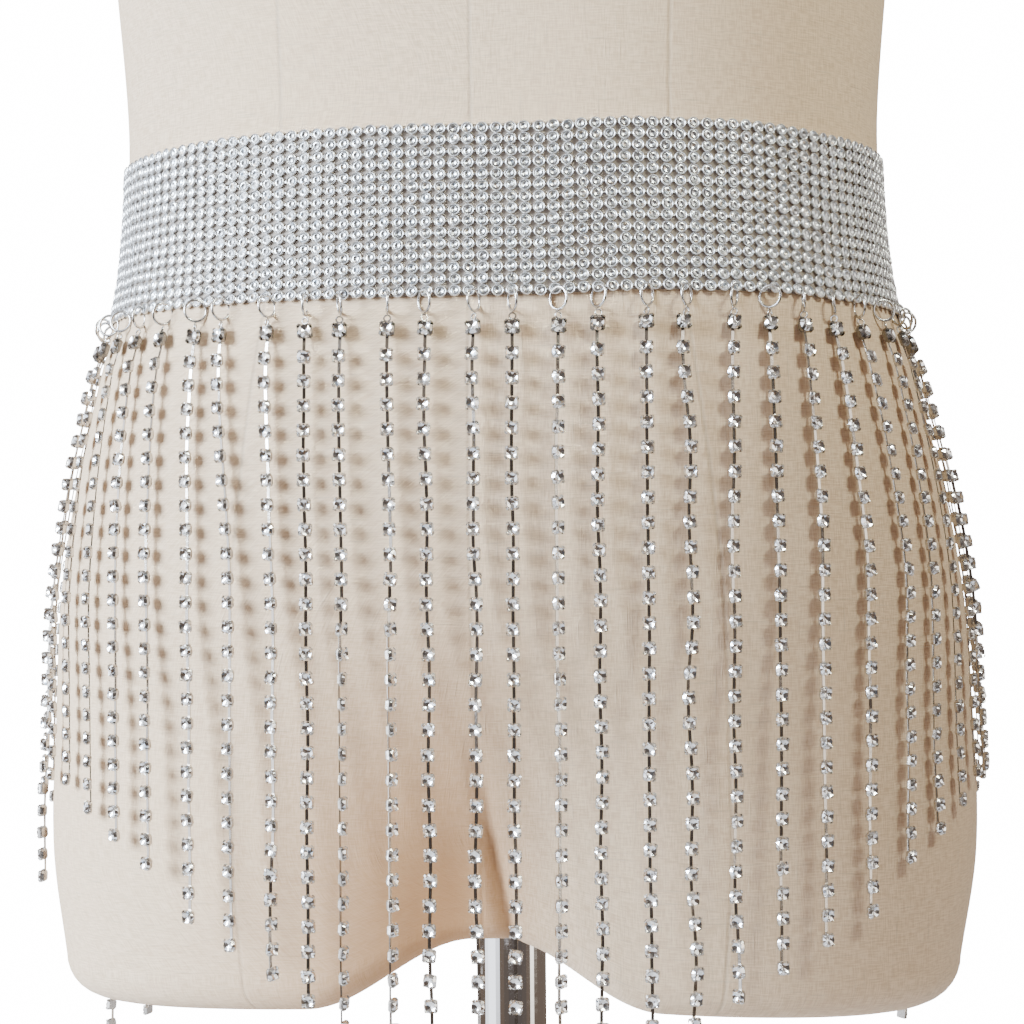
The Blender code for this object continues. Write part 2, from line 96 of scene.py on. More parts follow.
# The form, from the waist and the pole's axis, with how square each section is
FORM = (
    # height, half_width, front, back, power
    (0.4700, 0.0470, 0.048, 0.044, 2.0),
    (0.4300, 0.0485, 0.050, 0.046, 2.0),
    (0.4020, 0.0600, 0.058, 0.055, 2.0),
    (0.3860, 0.0860, 0.065, 0.064, 2.0),
    (0.3660, 0.1220, 0.073, 0.074, 2.1),
    (0.3400, 0.1500, 0.084, 0.084, 2.2),
    (0.3050, 0.1635, 0.098, 0.092, 2.3),
    (0.2650, 0.1660, 0.112, 0.096, 2.3),
    (0.2200, 0.1610, 0.123, 0.097, 2.3),
    (0.1700, 0.1530, 0.126, 0.093, 2.3),
    (0.1100, 0.1420, 0.117, 0.086, 2.3),
    (0.0460, 0.1367, 0.109, 0.081, 2.3),
    (0.0000, 0.1333, 0.106, 0.080, 2.3),
    (-0.0290, 0.1338, 0.107, 0.083, 2.3),
    (-0.0520, 0.1358, 0.110, 0.088, 2.3),
    (-0.0690, 0.1390, 0.1125, 0.0935, 2.3),
    (-0.0980, 0.1474, 0.1160, 0.1060, 2.3),
    (-0.1330, 0.1568, 0.1170, 0.1190, 2.3),
    (-0.1670, 0.1630, 0.1150, 0.1280, 2.35),
    (-0.2140, 0.1668, 0.1090, 0.1320, 2.4),
    (-0.2550, 0.1674, 0.1050, 0.1290, 2.55),
    (-0.2870, 0.1612, 0.1015, 0.1210, 2.75),
)
EDGE_DROP = 0.0125  # the rounded lower edge, below the last row of FORM
EDGE_INSET = 0.08  # share of the section that the rounded edge takes in
UNDER_SCALES = (0.8, 0.55, 0.30, 0.10)
ARCH_RISE = 0.0210  # of the underside between the thighs
ARCH_FLAT = 0.004
ARCH_HALF = 0.058
SIDE_DROP = 0.0085  # of the underside at SIDE_AT from the middle
SIDE_AT = 0.150
ARCH_ZONE = 0.060  # height over which the lower edge passes into the plain sections above
HOLLOW_TOP = -0.175  # where the hollow between the thighs begins, from the waist
HOLLOW_GROWTH = 0.090  # height over which it reaches its full depth
HOLLOW_DEPTH = 0.013
HOLLOW_HALF = 0.040
HOLLOW_AT = 0.007
NECK_SCALES = (0.90, 0.60, 0.05)
NECK_DOME = 0.004

# The finer form's own sizes
COVER_POINTS = 480
COVER_STEP = 0.005
EDGE_RINGS = 8
CREASE_TOP = -0.205  # where the crease in the hollow begins, from the waist
CREASE_AT = -0.0015  # its place across the form at its top
CREASE_BEND = 0.0105  # how far it leans towards +X at its foot
CREASE_DEPTH = 0.0030
CREASE_WIDTH = 0.0026
SEAM_SHARE = 0.345  # of the way from the front's middle to the side, where the front seams run
RING_STEPS = 1440  # points that a ring's length is measured through
TURN_STEP = 0.001  # half of the turn that a section's direction is taken over
HALVINGS = 40  # steps of halving that find a strand's place on the form
CUP_SIDES = 12
CUP_PROFILE = (
    # radius, out
    (0.00165, 0.00020),
    (0.00186, 0.00080),
    (0.00184, 0.00126),
    (0.00164, 0.00140),
    (0.00143, 0.00128),
    (0.00138, 0.00100),
)
CUP_STRETCH = 1.05  # a cup is that much wider than it is high
CUP_TILT = math.radians(4)  # spread of the small tilts and jogs of the cups
CUP_JOG = 0.00006
CUP_NUDGE = 0.0008  # share of the waist on each side of a cup that its direction is taken over
MESH_STONE_SIDES = 8
MESH_STONE = (
    # radius, out: its girdle, crown and middle
    (0.00141, 0.00106),
    (0.00096, 0.00118),
    (0.0, 0.00084),
)
STONE_TURNS = [math.tau * i / 40 for i in range(5)]
BRIDGE_HALF = (0.0007, 0.00042)
BRIDGE_OUT = (0.0004, 0.00085)
BRIDGE_TAPER = 0.8
SHADE_SHEET_OUT = 0.0002
SHADE_SHEET_EDGE = 0.0013  # by which the sheet of painted shade goes past the outer rows' middles
BAND_SEED = 11
FRINGE_SEED = 23
ROUND_EDGE = math.radians(60)  # edges of round and of cut pieces are sharp past these angles
CUT_EDGE = math.radians(35)

# Colours and light
LINEN_DARK = (0.68, 0.48, 0.31)
LINEN_LIGHT = (0.90, 0.70, 0.50)
LINEN_PATCH = (0.88, 0.65, 0.43)
LINEN_SLUB = (0.46, 0.36, 0.27)
# painted shade along the crease between the thighs
CREASE_PAINTED_SHADE = (0.42, 0.22, 0.10)
HOLLOW_PAINTED_SHADE = (0.60, 0.30, 0.12)  # painted shade in the hollow, orange-brown: deepest at the middle set below, and fading to each side
HOLLOW_SHADE_AT = -0.012
HOLLOW_SHADE_LEFT = 0.055
HOLLOW_SHADE_RIGHT = 0.026
HOLLOW_SHADE_TOP = -0.130
HOLLOW_SHADE_GROWTH = 0.150
THREADS = 2300  # noise cells in a metre: across the threads, along them, and the same for the slubs
THREAD_GRAIN = 220
SLUBS = 1300
SLUB_GRAIN = 60
SLUB_GRAIN_UP = 50
SEAM_CORE = 0.0002  # half widths of a seam's dark line and of its soft edge
SEAM_EDGE = 0.0010
WEAVE_DEPTH = 0.00022
# painted fire: a few facets tinted cold or warm, standing in for the stones' coloured glints
PAINTED_FIRE_COLD = (0.60, 0.78, 1.0)
PAINTED_FIRE_WARM = (1.0, 0.80, 0.58)
FACET_CELLS = 1100
# painted shade of the gaps between the cups, where the linen lies in their shade
GAP_SHADE_DARK = (0.27, 0.22, 0.18)
GAP_SHADE_LIGHT = (0.38, 0.32, 0.27)
FLOOR_DARK = (0.81, 0.81, 0.81)
FLOOR_LIGHT = (0.84, 0.84, 0.84)
ROOM_LOW = (0.17, 0.125, 0.095)
ROOM_HIGH = (0.48, 0.44, 0.40)
ROOM_FRONT = (0.13, 0.11, 0.10)
ROOM_WINDOW = (3.0, 3.15, 3.4)
ROOM_SMALL_WINDOW = (3.2, 3.0, 2.7)
ROOM_LIGHTS = (
    # towards, edge and core as cosines of the angle from there, colour
    ((0.30, -0.95, -0.05), 0.74, 0.90, ROOM_FRONT),
    ((-0.90, -0.35, 0.25), 0.74, 0.86, ROOM_WINDOW),
    ((0.75, -0.45, 0.50), 0.955, 0.97, ROOM_SMALL_WINDOW),
    ((0.98, -0.20, 0.05), 0.94, 0.97, ROOM_SMALL_WINDOW),
)
AMBIENT_LOW = (0.03, 0.012, 0.005)
AMBIENT_HIGH = (0.39, 0.235, 0.145)
BACKDROP = (16.0, 16.0, 16.0)
FLOOR_RADIUS = 0.6
KEY_PLACE = (-2.33, -1.32, 1.2)
KEY_SIZE = (1.3, 1.2)
KEY_POWER = 306
KEY_COLOUR = (0.76, 0.88, 1.0)
FILL_PLACE = (1.3, -1.2, 2.4)
FILL_SIZE = (0.7, 0.7)
FILL_POWER = 3.3
FILL_AIM = (0.15, 0.0, 0.94)
FILL_SPREAD = math.radians(24)
FILL_COLOUR = (0.93, 1.0, 0.84)

# The photograph's view
EYE_Z = 0.4215
EYE_WAY = 0.78  # from the pole's axis
EYE_TURN = math.radians(6)  # round it, towards +X
EYE_ROLL = math.radians(0.45)
FRAME_PX = 1024  # the photograph's side, its focal length and its middle line, in its own pixels
FOCAL_PX = 2130
AXIS_PX = 508.5


# The surface of the form

def smooth(t):
    """A soft step from 0 to 1."""
    t = np.clip(t, 0.0, 1.0)
    return t * t * (3 - 2 * t)


def form_row(height):
    """The form's half width, front, back and power at a height, on a smooth curve through FORM."""
    rows = FORM
    if height >= rows[0][0]:
        return rows[0][1:]
    if height <= rows[-1][0]:
        return rows[-1][1:]
    low = next(i for i, row in enumerate(rows) if row[0] <= height)
    high = low - 1
    above = max(high - 1, 0)
    below = min(low + 1, len(rows) - 1)
    span = rows[low][0] - rows[high][0]
    t = (height - rows[high][0]) / span
    values = []
    for k in range(1, 5):
        start, end = rows[high][k], rows[low][k]
        slope_start = (end - rows[above][k]) / (rows[low][0] - rows[above][0]) * span
        slope_end = (rows[below][k] - start) / (rows[below][0] - rows[high][0]) * span
        bend = (t - 2 * t ** 2 + t ** 3) * slope_start - (t ** 2 - t ** 3) * slope_end
        values.append(start + (end - start) * smooth(t) + bend)
    return tuple(values)


def section_points(heights, turns, out=0.0):
    """Points (x, y) of the form's sections at heights and turns from the front towards +X, moved out."""
    rows = np.array([form_row(height) for height in np.broadcast_to(heights, np.shape(turns))])
    half_width, front, back, power = rows.T

    def at(angles):
        side, fore = np.sin(angles), np.cos(angles)
        x = half_width * np.sign(side) * np.abs(side) ** (2 / power)
        y = (back - front) / 2 - (front + back) / 2 * np.sign(fore) * np.abs(fore) ** (2 / power)
        return np.stack([x, y], axis=1)

    along = at(turns + TURN_STEP) - at(turns - TURN_STEP)
    along /= np.linalg.norm(along, axis=1, keepdims=True)
    return at(turns) + np.stack([along[:, 1], -along[:, 0]], axis=1) * out


def ring_turns(height, out, shares):
    """Turns of the places at shares of a ring's length, from the middle of the front, and that length."""
    turns = math.tau * (np.arange(RING_STEPS + 1) / RING_STEPS - 0.5)
    row = form_row(height)
    side, fore = np.sin(turns), np.cos(turns)
    x = row[0] * np.sign(side) * np.abs(side) ** (2 / row[3])
    y = -(row[1] + row[2]) / 2 * np.sign(fore) * np.abs(fore) ** (2 / row[3])
    points = np.stack([x, y], axis=1)
    along = np.roll(points[:-1], -1, axis=0) - np.roll(points[:-1], 1, axis=0)
    along /= np.linalg.norm(along, axis=1, keepdims=True)
    along = np.vstack([along, along[:1]])
    points += np.stack([along[:, 1], -along[:, 0]], axis=1) * out
    ways = np.concatenate([[0.0], np.cumsum(np.linalg.norm(np.diff(points, axis=0), axis=1))])
    targets = ((np.asarray(shares) + 0.5) % 1.0) * ways[-1]
    return np.interp(targets, ways, turns), ways[-1]


def reach_along(start, push, height, out):
    """How far the form's section at a height, moved out, lies from start along a level direction."""
    half_width, front, back, power = form_row(height)
    half_depth = (front + back) / 2 + out
    middle = (back - front) / 2
    low, high = REACH_IN, REACH_OUT
    for _ in range(HALVINGS):
        way = (low + high) / 2
        x, y = start + push * way
        inside = (abs(x) / (half_width + out)) ** power + (abs(y - middle) / half_depth) ** power < 1
        low, high = (way, high) if inside else (low, way)
    return (low + high) / 2


def arch_lift(x):
    """Rise of the underside at distances from the middle."""
    t = np.clip((np.abs(x) - ARCH_FLAT) / (ARCH_HALF - ARCH_FLAT), 0, 1)
    return ARCH_RISE * (1 + np.cos(np.pi * t)) / 2 - SIDE_DROP * (x / SIDE_AT) ** 2


def band_height(share, level):
    """Height of the band at shares of the waist. Level 0 is its lower edge, and 1 its upper edge."""
    way = share - BELT_TURN
    side = np.minimum(np.abs(way), 0.5 - np.abs(way))
    squeeze = BAND_SQUEEZE * smooth((side - SQUEEZE_FROM) / (SQUEEZE_TO - SQUEEZE_FROM))
    fall = SIDE_FALL * smooth((side - FALL_FROM) / (FALL_TO - FALL_FROM))
    lift = BAND_LIFT * smooth((way - LIFT_FROM) / LIFT_STEP) * smooth((LIFT_TO - way) / LIFT_STEP)
    return BAND_BOTTOM + lift - fall + (BAND_HEIGHT - squeeze) * level


def spread_share(way, length):
    """Share of a ring for a way round the belt, so that its columns stand evenly apart at the front."""
    return BELT_TURN + way + (FRONT_LENGTH / length - 1) * np.sin(math.tau * way) / math.tau


def band_points(level, drop, out, shares):
    """Points round the form, drop below the band's level and moved out, at shares of the waist."""
    turns, _ = ring_turns(BAND_BOTTOM + BAND_HEIGHT * level, out, shares)
    heights = band_height(np.asarray(shares), level) - drop
    return np.column_stack([section_points(heights, turns, out), WAIST_Z + heights])


# Meshes of many like pieces

class Pattern:
    """A small shape to repeat: its points in (along, up, out) and its faces."""

    def __init__(self):
        self.points = []
        self.faces = []

    def ring(self, radius, out, sides, turn=0.0):
        """Add a ring of points, and return their numbers."""
        start = len(self.points)
        for i in range(sides):
            angle = turn + math.tau * i / sides
            self.points.append((radius * math.cos(angle), radius * math.sin(angle), out))
        return list(range(start, start + sides))

    def band(self, low, high):
        """Join two rings of points with a round of faces."""
        count = len(low)
        for i in range(count):
            j = (i + 1) % count
            self.faces.append((low[i], low[j], high[j], high[i]))

    def turned(self, profile, sides):
        """Add a turned shape from its profile of (radius, out)."""
        rings = [self.ring(radius, out, sides) for radius, out in profile]
        for low, high in zip(rings, rings[1:]):
            self.band(low, high)

    def box(self, low, high, taper=1.0):
        """A block from low to high. Its outer face is narrower by taper."""
        middle = [(a + b) / 2 for a, b in zip(low, high)]
        corners = ((low[0], low[1]), (high[0], low[1]), (high[0], high[1]), (low[0], high[1]))
        s = len(self.points)
        for out, share in ((low[2], 1.0), (high[2], taper)):
            for a, u in corners:
                along = middle[0] + (a - middle[0]) * share
                up = middle[1] + (u - middle[1]) * share
                self.points.append((along, up, out))
        self.faces += [(s, s + 3, s + 2, s + 1), (s + 4, s + 5, s + 6, s + 7)]
        for i in range(4):
            j = (i + 1) % 4
            self.faces.append((s + i, s + j, s + 4 + j, s + 4 + i))


def new_piece(name, points, faces, finish):
    """A mesh in the scene, with its one material."""
    mesh = bpy.data.meshes.new(name)
    mesh.from_pydata(points, [], faces)
    mesh.materials.append(finish)
    made = bpy.data.objects.new(name, mesh)
    bpy.context.scene.collection.objects.link(made)
    return made


def set_values(mesh, name, kind, domain, key, values):
    """Store values on a mesh as an attribute, for its material to read."""
    made = mesh.attributes.new(name, kind, domain)
    made.data.foreach_set(key, np.asarray(values, dtype=np.float32).ravel())


def repeat(name, patterns, places, finish, smooth_angle=None):
    """One mesh of a pattern at each place. A place is (point, along, up, out), each a row of 3. patterns is
    one Pattern, or a list with one for each place. Each copy keeps a random number, one, for its material."""
    points, faces, luck = [], [], []
    start = 0
    draw = np.random.default_rng(len(name) * 7 + len(places))
    for i, (point, along, up, out) in enumerate(places):
        pattern = patterns[i] if isinstance(patterns, list) else patterns
        local = np.asarray(pattern.points)
        points.append(point + local @ np.stack([along, up, out]))
        faces += [tuple(start + k for k in face) for face in pattern.faces]
        luck.append(np.full(len(local), draw.random()))
        start += len(local)
    made = new_piece(name, np.concatenate(points), faces, finish)
    set_values(made.data, "luck", "FLOAT", "POINT", "value", np.concatenate(luck))
    if smooth_angle is not None:
        made.data.shade_smooth()
        made.data.set_sharp_from_angle(angle=smooth_angle)
    made.data.update()
    return made


def turned_frame(point, along, up, out, yaw=0.0, pitch=0.0, roll=0.0):
    """A place turned about its own up, along and out directions."""
    axes = Matrix((along, up, out)).transposed()
    turn = Matrix.Rotation(yaw, 3, "Y") @ Matrix.Rotation(pitch, 3, "X") @ Matrix.Rotation(roll, 3, "Z")
    axes = np.array(axes @ turn).T
    return np.asarray(point), axes[0], axes[1], axes[2]


# Materials

class Finish:
    """A material with one Principled shader, and short calls that build its nodes."""

    def __init__(self, name, colour, roughness, metallic=0.0):
        self.material = bpy.data.materials.new(name)
        self.material.use_nodes = True
        self.tree = self.material.node_tree
        self.shader = self.tree.nodes["Principled BSDF"]
        self.shader.inputs["Base Color"].default_value = (*colour, 1)
        self.shader.inputs["Roughness"].default_value = roughness
        self.shader.inputs["Metallic"].default_value = metallic

    def node(self, kind, inputs=None, **settings):
        made = self.tree.nodes.new(kind)
        for key, value in settings.items():
            setattr(made, key, value)
        for key, value in (inputs or {}).items():
            if isinstance(value, bpy.types.NodeSocket):
                self.tree.links.new(value, made.inputs[key])
            else:
                made.inputs[key].default_value = value
        return made

    def math(self, operation, first, second=0.0):
        return self.node("ShaderNodeMath", {0: first, 1: second}, operation=operation).outputs[0]

    def span(self, value, low, high, to_low, to_high):
        """The value mapped from low..high to to_low..to_high, and held there beyond them."""
        inputs = {0: value, 1: low, 2: high, 3: to_low, 4: to_high}
        return self.node("ShaderNodeMapRange", inputs, clamp=True).outputs[0]

    def noise(self, vector, scale, detail=2.0):
        inputs = {"Vector": vector, "Scale": scale, "Detail": detail}
        return self.node("ShaderNodeTexNoise", inputs).outputs[0]

    def mix(self, share, first, second):
        made = self.node("ShaderNodeMix", data_type="RGBA")
        for key, value in ((0, share), (6, first), (7, second)):
            if isinstance(value, bpy.types.NodeSocket):
                self.tree.links.new(value, made.inputs[key])
            else:
                made.inputs[key].default_value = value if key == 0 else (*value, 1)
        return made.outputs[2]

    def attribute(self, name, output=2):
        """An attribute of the mesh: output 1 is its vector, and 2 its number."""
        return self.node("ShaderNodeAttribute", attribute_name=name).outputs[output]

    def place(self):
        return self.node("ShaderNodeTexCoord").outputs["Object"]

    def stretch(self, vector, factors):
        made = self.node("ShaderNodeVectorMath", {0: vector}, operation="MULTIPLY")
        made.inputs[1].default_value = factors
        return made.outputs[0]

    def drive(self, socket, value):
        self.tree.links.new(value, self.shader.inputs[socket])

    def bump(self, height, distance, strength=1.0):
        inputs = {"Height": height, "Distance": distance, "Strength": strength}
        made = self.node("ShaderNodeBump", inputs)
        self.drive("Normal", made.outputs[0])


def plated(name, colour, roughness):
    """Bright plating: fine scuffs in its roughness, and cups that differ a little in tone."""
    made = Finish(name, colour, roughness, 1.0)
    place = made.place()
    scuffs = made.noise(place, 900, 3)
    made.drive("Roughness", made.span(scuffs, 0.3, 0.7, roughness * 0.7, roughness * 1.5))
    luck = made.attribute("luck")
    dull = tuple(value * 0.86 for value in colour)
    made.drive("Base Color", made.mix(luck, colour, dull))
    made.bump(made.noise(place, 1600, 2), 0.00006, 0.5)
    return made.material


def crystal(name, roughness, bright, dark):
    """Foil backed glass with painted reflections: facets that differ in brightness, some with a little
    painted cold or warm fire.
    """
    made = Finish(name, (0.93, 0.94, 0.96), roughness, 1.0)
    # painted reflections: facets of random brightness stand in for the stones' inner reflections
    cells = made.node("ShaderNodeTexVoronoi", {"Vector": made.place(), "Scale": FACET_CELLS})
    parts = made.node("ShaderNodeSeparateColor", {0: cells.outputs["Color"]})
    tone = made.mix(parts.outputs[0], bright, dark)
    cold = made.mix(made.span(parts.outputs[1], 0.86, 0.98, 0.0, 0.6), tone, PAINTED_FIRE_COLD)
    warm = made.mix(made.span(parts.outputs[2], 0.90, 0.99, 0.0, 0.6), cold, PAINTED_FIRE_WARM)
    made.drive("Base Color", warm)
    made.bump(made.noise(made.place(), 900, 1), 0.00012, 0.3)
    return made.material


def linen():
    """Cream linen: an even weave of fine threads with long slubs, darker at the seams, with painted shade
    along the crease and, orange-brown, in the hollow between the thighs."""
    made = Finish("linen_cover", (0.80, 0.73, 0.64), 0.9)
    cloth = made.attribute("cloth", 1)
    across = made.noise(made.stretch(cloth, (THREAD_GRAIN, THREADS, 0)), 1.0, 2)
    upward = made.noise(made.stretch(cloth, (THREADS, THREAD_GRAIN, 0)), 1.0, 2)
    weave = made.math("ADD", across, upward)
    long_across = made.noise(made.stretch(cloth, (SLUB_GRAIN, SLUBS, 0)), 1.0, 1)
    long_upward = made.noise(made.stretch(cloth, (SLUBS, SLUB_GRAIN_UP, 0)), 1.0, 1)
    slub_across = made.span(long_across, 0.62, 0.78, 0, 1)
    slub_upward = made.span(long_upward, 0.64, 0.80, 0, 1)
    slubs = made.math("MAXIMUM", slub_across, slub_upward)
    tone = made.mix(made.span(weave, 0.82, 1.18, 0, 1), LINEN_DARK, LINEN_LIGHT)
    patches = made.noise(made.place(), 9, 3)
    tone = made.mix(made.span(patches, 0.35, 0.7, 0, 0.35), tone, LINEN_PATCH)
    tone = made.mix(made.math("MULTIPLY", slubs, 0.30), tone, LINEN_SLUB)
    seam = None
    for name in ("seam_centre", "seam_front", "seam_side", "seam_back"):
        way = made.math("ABSOLUTE", made.attribute(name))
        line = made.span(way, SEAM_CORE, SEAM_EDGE, 1.0, 0.0)
        seam = line if seam is None else made.math("MAXIMUM", seam, line)
    tone = made.mix(made.math("MULTIPLY", seam, 0.35), tone, LINEN_SLUB)
    # painted shade, orange-brown, in the hollow between the thighs
    tone = made.mix(made.math("MULTIPLY", made.attribute("painted_hollow_shade"), 0.85), tone, HOLLOW_PAINTED_SHADE)
    # painted shade along the crease, on top of its shallow groove
    crease = made.attribute("crease")
    tone = made.mix(made.math("MULTIPLY", crease, 0.70), tone, CREASE_PAINTED_SHADE)
    made.drive("Base Color", tone)
    made.shader.inputs["Sheen Weight"].default_value = 0.12
    made.shader.inputs["Sheen Roughness"].default_value = 0.5
    raised = made.math("SUBTRACT", made.math("ADD", weave, made.math("MULTIPLY", slubs, 0.6)), seam)
    made.bump(raised, WEAVE_DEPTH, 0.6)
    return made.material


def gap_shade_finish():
    """Painted shade on the sheet behind the cups: the brownish grey of the gaps in their shade."""
    made = Finish("gap_painted_shade", (0.27, 0.225, 0.19), 0.6)
    tone = made.mix(made.noise(made.place(), 700, 2), GAP_SHADE_DARK, GAP_SHADE_LIGHT)
    made.drive("Base Color", tone)
    return made.material


def chrome():
    """Polished chrome with faint hairlines."""
    made = Finish("polished_chrome", (0.80, 0.79, 0.79), 0.06, 1.0)
    place = made.place()
    lines = made.noise(made.stretch(place, (60, 60, 900)), 1.0, 2)
    made.drive("Roughness", made.span(lines, 0.3, 0.7, 0.04, 0.11))
    made.bump(lines, 0.00002, 0.3)
    return made.material


def floor_finish():
    made = Finish("pale_floor", (0.82, 0.82, 0.82), 0.9)
    tone = made.mix(made.noise(made.place(), 3, 2), FLOOR_DARK, FLOOR_LIGHT)
    made.drive("Base Color", tone)
    return made.material


# The dress form

def cover_levels():
    """Rings of the form from the neck's top down to the middle of its underside: (height, row, scale)."""
    neck, hem = FORM[0][0], FORM[-1][0]
    levels = [(neck + NECK_DOME * (1 - scale ** 2), neck, scale) for scale in reversed(NECK_SCALES)]
    steps = math.ceil((neck - hem) / COVER_STEP)
    heights = [neck + (hem - neck) * i / steps for i in range(steps + 1)]
    levels += [(height, height, 1.0) for height in heights]
    for i in range(1, EDGE_RINGS + 1):
        angle = math.pi / 2 * i / EDGE_RINGS
        levels.append((hem - EDGE_DROP * math.sin(angle), hem, 1 - EDGE_INSET * (1 - math.cos(angle))))
    levels += [(hem - EDGE_DROP, hem, scale) for scale in UNDER_SCALES]
    return levels


def make_cover():
    """The linen skin on the form, with its seams, its crease and the way along the cloth at each corner."""
    shares = np.arange(COVER_POINTS) / COVER_POINTS
    foot = FORM[-1][0] - EDGE_DROP
    points, cloth, creases, hollow_shade_values = [], [], [], []
    seams = {"centre": [], "front": [], "side": [], "back": []}
    for height, row, scale in cover_levels():
        ring = section_points(row, ring_turns(row, 0.0, shares)[0])
        ways = np.concatenate([[0.0], np.cumsum(np.linalg.norm(np.diff(ring, axis=0), axis=1))])
        whole = ways[-1] + np.linalg.norm(ring[0] - ring[-1])
        way = np.minimum(ways, whole - ways)
        _, front, back, _ = form_row(row)
        middle = np.array([0.0, (back - front) / 2])
        kept = 0.0 if scale == UNDER_SCALES[-1] else 1.0
        ring = middle * kept + (ring - middle) * scale
        zone = min(max(1 - (height - foot) / ARCH_ZONE, 0.0), 1.0)
        z = WAIST_Z + height + arch_lift(ring[:, 0] * kept) * zone
        sink = min(max((CREASE_TOP - height) / (CREASE_TOP - foot), 0.0), 1.0)
        crease_at = CREASE_AT + CREASE_BEND * sink
        is_front = ring[:, 1] < 0
        crease = smooth(sink * 2) * np.exp(-((ring[:, 0] - crease_at) / CREASE_WIDTH) ** 2) * is_front
        # painted shade in the hollow: strongest at its middle, reaching further towards -X, and growing
        # downwards from its top
        away = ring[:, 0] - HOLLOW_SHADE_AT
        reach = np.where(away < 0, HOLLOW_SHADE_LEFT, HOLLOW_SHADE_RIGHT)
        deepened = smooth((HOLLOW_SHADE_TOP - height) / HOLLOW_SHADE_GROWTH)
        hollow_shade_values.append(deepened * np.exp(-(away / reach) ** 2) * is_front)
        if scale >= 1.0 - EDGE_INSET:
            grown = smooth((HOLLOW_TOP - height) / HOLLOW_GROWTH)
            hollow = HOLLOW_DEPTH * grown * np.exp(-((ring[:, 0] - HOLLOW_AT) / HOLLOW_HALF) ** 2)
            ring[:, 1] += (hollow + CREASE_DEPTH * crease) * is_front
        points.append(np.column_stack([ring, z]))
        creases.append(crease)
        ways = np.append(ways, whole)
        cloth.append(np.column_stack([ways, np.full(len(ways), height), np.zeros(len(ways))]))
        seams["centre"].append(way)
        seams["front"].append(way - whole / 4 * SEAM_SHARE)
        seams["side"].append(way - whole / 4)
        seams["back"].append(whole / 2 - way)
    count = COVER_POINTS
    faces, corners = [], []
    for level in range(len(points) - 1):
        upper, lower = cloth[level], cloth[level + 1]
        high, low = level * count, (level + 1) * count
        for i in range(count):
            j = (i + 1) % count
            faces.append((high + i, low + i, low + j, high + j))
            corners += [upper[i], lower[i], lower[i + 1], upper[i + 1]]
    last = (len(points) - 1) * count
    faces.append(tuple(range(count)))
    faces.append(tuple(last + i for i in reversed(range(count))))
    corners += list(cloth[0][:count]) + list(cloth[-1][:count][::-1])
    made = new_piece("form_cover", np.concatenate(points), faces, linen())
    mesh = made.data
    set_values(mesh, "cloth", "FLOAT_VECTOR", "CORNER", "vector", corners)
    set_values(mesh, "crease", "FLOAT", "POINT", "value", np.concatenate(creases))
    set_values(mesh, "painted_hollow_shade", "FLOAT", "POINT", "value", np.concatenate(hollow_shade_values))
    for name, values in seams.items():
        set_values(mesh, "seam_" + name, "FLOAT", "POINT", "value", np.concatenate(values))
    mesh.shade_smooth()
    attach(made, "root")
    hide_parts("form_body")
    return made


# The ring mesh band

def unit(rows):
    """Each row at length 1."""
    return rows / np.linalg.norm(rows, axis=1, keepdims=True)


def band_direction(level, shares, level_step, share_step):
    """The band's direction at places, from a step before each of them to a step after it."""
    after = band_points(level + level_step, 0.0, BAND_CLEAR, shares + share_step)
    before = band_points(level - level_step, 0.0, BAND_CLEAR, shares - share_step)
    return unit(after - before)


def band_rows():
    """A place for each cup of the band, row by row from the top: rows of (point, along, up, out)."""
    ways = ((np.arange(COLUMNS) + 0.5) / COLUMNS - 0.5) * (1 - 2 * CLASP_SHARE)
    rows = []
    for row in range(ROWS):
        level = 1 - (CUP_WIDTH / 2 + row * ROW_PITCH) / BAND_HEIGHT
        _, length = ring_turns(BAND_BOTTOM + BAND_HEIGHT * level, BAND_CLEAR, [0.0])
        shares = spread_share(ways, length)
        point = band_points(level, 0.0, BAND_CLEAR, shares)
        along = band_direction(level, shares, 0.0, CUP_NUDGE)
        up = band_direction(level, shares, CUP_NUDGE / BAND_HEIGHT, 0.0)
        rows.append((point, along, up, unit(np.cross(along, up))))
    return rows


def cup_pattern():
    """A ring cup of the mesh, a little wider than it is high."""
    shape = Pattern()
    shape.turned(CUP_PROFILE, CUP_SIDES)
    shape.points = [(a * CUP_STRETCH, u, o) for a, u, o in shape.points]
    return shape


def small_stone_pattern(turn):
    """A round stone: a ring of crown facets, and a sunken middle that shows its lit far side."""
    shape = Pattern()
    sides = MESH_STONE_SIDES
    girdle = shape.ring(*MESH_STONE[0], sides, turn)
    crown = shape.ring(*MESH_STONE[1], sides, turn + math.pi / sides)
    middle = shape.ring(*MESH_STONE[2], 1)[0]
    for i in range(sides):
        j = (i + 1) % sides
        shape.faces.append((girdle[i], girdle[j], crown[i]))
        shape.faces.append((girdle[j], crown[j], crown[i]))
        shape.faces.append((crown[i], crown[j], middle))
    return shape


def bridge_pattern():
    """The bright link between a cup and the next one in its row."""
    shape = Pattern()
    middle = FRONT_PITCH / 2
    low = (middle - BRIDGE_HALF[0], -BRIDGE_HALF[1], BRIDGE_OUT[0])
    high = (middle + BRIDGE_HALF[0], BRIDGE_HALF[1], BRIDGE_OUT[1])
    shape.box(low, high, BRIDGE_TAPER)
    return shape


def make_shade_sheet(rows, finish):
    """A sheet of painted shade behind the cups, for the shaded gaps between them: one sheet through their
    middles.
    """
    points = [point + out * SHADE_SHEET_OUT for point, _, _, out in rows]
    rise = rows[0][2] * SHADE_SHEET_EDGE
    points = [points[0] + rise] + points + [points[-1] - rise]
    faces = []
    for row in range(len(points) - 1):
        for i in range(COLUMNS - 1):
            upper, lower = row * COLUMNS + i, (row + 1) * COLUMNS + i
            faces.append((upper, lower, lower + 1, upper + 1))
    made = new_piece("belt_gap_shade_sheet", np.concatenate(points), faces, finish)
    made.data.shade_smooth()
    return made


